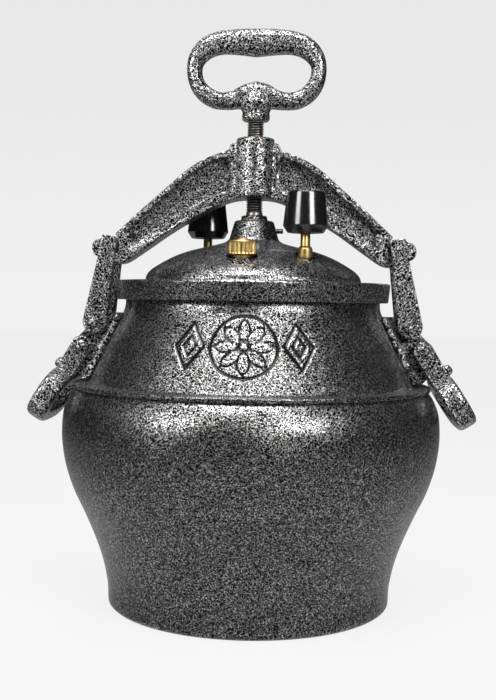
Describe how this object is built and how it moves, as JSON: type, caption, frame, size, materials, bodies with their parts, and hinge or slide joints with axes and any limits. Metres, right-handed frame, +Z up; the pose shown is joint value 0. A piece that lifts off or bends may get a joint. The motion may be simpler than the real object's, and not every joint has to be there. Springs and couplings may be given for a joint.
{
  "type": "pressure canner",
  "caption": "Pot-bellied stovetop pressure canner: domed lid on a gasket, screw clamp with arched yoke and swinging links, weighted relief valves, ring handles.",
  "frame": {"origin": "centre of the pot's flat underside", "axes": "+Z up along the screw, +X along the yoke to one side handle, -Y to the front with the burst plug"},
  "size_m": [0.3134, 0.267, 0.407],
  "materials": {
    "pot_paint": "fine black and silver hammertone enamel on the casting",
    "cast_paint": "coarse black and silver hammertone enamel on the casting",
    "brass": "turned",
    "copper": "copper, satin",
    "steel": "turned",
    "painted_steel": "coarse black and silver hammertone enamel on steel",
    "oiled_steel": "dark, oiled thread",
    "black_plastic": "polished",
    "gasket_rubber": "silicone"
  },
  "bodies": {
    "pot": {"pot_body": "pot_paint", "lug_right": "cast_paint", "lug_left": "cast_paint", "lug_rivet_1_right": "cast_paint", "lug_rivet_1_left": "cast_paint", "lug_rivet_2_right": "cast_paint", "lug_rivet_2_left": "cast_paint", "lug_rivet_3_right": "cast_paint", "lug_rivet_3_left": "cast_paint", "lug_rivet_4_right": "cast_paint", "lug_rivet_4_left": "cast_paint", "link_pin_right": "cast_paint", "link_pin_left": "cast_paint", "handle_pin_right": "cast_paint", "handle_pin_left": "cast_paint"},
    "link_right": {"link_right": "cast_paint"},
    "link_left": {"link_left": "cast_paint"},
    "side_handle_right": {"side_handle_right": "cast_paint"},
    "side_handle_left": {"side_handle_left": "cast_paint"},
    "lid": {"lid": "pot_paint", "gasket": "gasket_rubber", "thrust_disc": "brass", "retention_screw": "oiled_steel", "front_valve_stem": "brass", "front_valve_washer": "copper", "front_valve_nut": "brass", "rear_valve_stem": "brass", "rear_valve_washer": "copper", "rear_valve_nut": "brass", "safety_nipple": "brass", "safety_washer": "copper", "safety_nut": "brass", "burst_disc": "copper", "safety_cap": "brass"},
    "front_weight": {"front_weight_core": "brass", "front_weight_cap": "black_plastic"},
    "rear_weight": {"rear_weight_core": "brass", "rear_weight_cap": "black_plastic"},
    "screw": {"spindle": "oiled_steel", "top_grip": "cast_paint", "grip_pin": "steel"},
    "yoke": {"yoke": "cast_paint", "yoke_bush": "painted_steel"}
  },
  "joints": [
    {"name": "lid_lift", "type": "slide", "parent": "pot", "child": "lid", "axis": [0, 0, 1], "range_m": [0, 0.3]},
    {"name": "screw_turn", "type": "hinge", "parent": "lid", "child": "screw", "pos_m": [0, 0, 0.3], "axis": [0, 0, 1], "range_deg": [0, 1710]},
    {"name": "yoke_travel", "type": "slide", "parent": "lid", "child": "yoke", "axis": [0, 0, 1], "range_m": [-0.0084, 0]},
    {"name": "link_right_swing", "type": "hinge", "parent": "pot", "child": "link_right", "pos_m": [0.1105, 0, 0.199], "axis": [0, 1, 0], "range_deg": [0, 100]},
    {"name": "link_left_swing", "type": "hinge", "parent": "pot", "child": "link_left", "pos_m": [-0.1105, 0, 0.199], "axis": [0, -1, 0], "range_deg": [0, 100]},
    {"name": "side_handle_right_swing", "type": "hinge", "parent": "pot", "child": "side_handle_right", "pos_m": [0.12, 0, 0.182], "axis": [0, 1, 0], "range_deg": [-95, 0]},
    {"name": "side_handle_left_swing", "type": "hinge", "parent": "pot", "child": "side_handle_left", "pos_m": [-0.12, 0, 0.182], "axis": [0, -1, 0], "range_deg": [-95, 0]},
    {"name": "front_weight_lift", "type": "slide", "parent": "lid", "child": "front_weight", "axis": [0, 0, 1], "range_m": [0, 0.03]},
    {"name": "rear_weight_lift", "type": "slide", "parent": "lid", "child": "rear_weight", "axis": [0, 0, 1], "range_m": [0, 0.03]}
  ],
  "couplings": [
    {"joint": "yoke_travel", "follows": "screw_turn", "m_per_rad": -0.00027852}
  ]
}
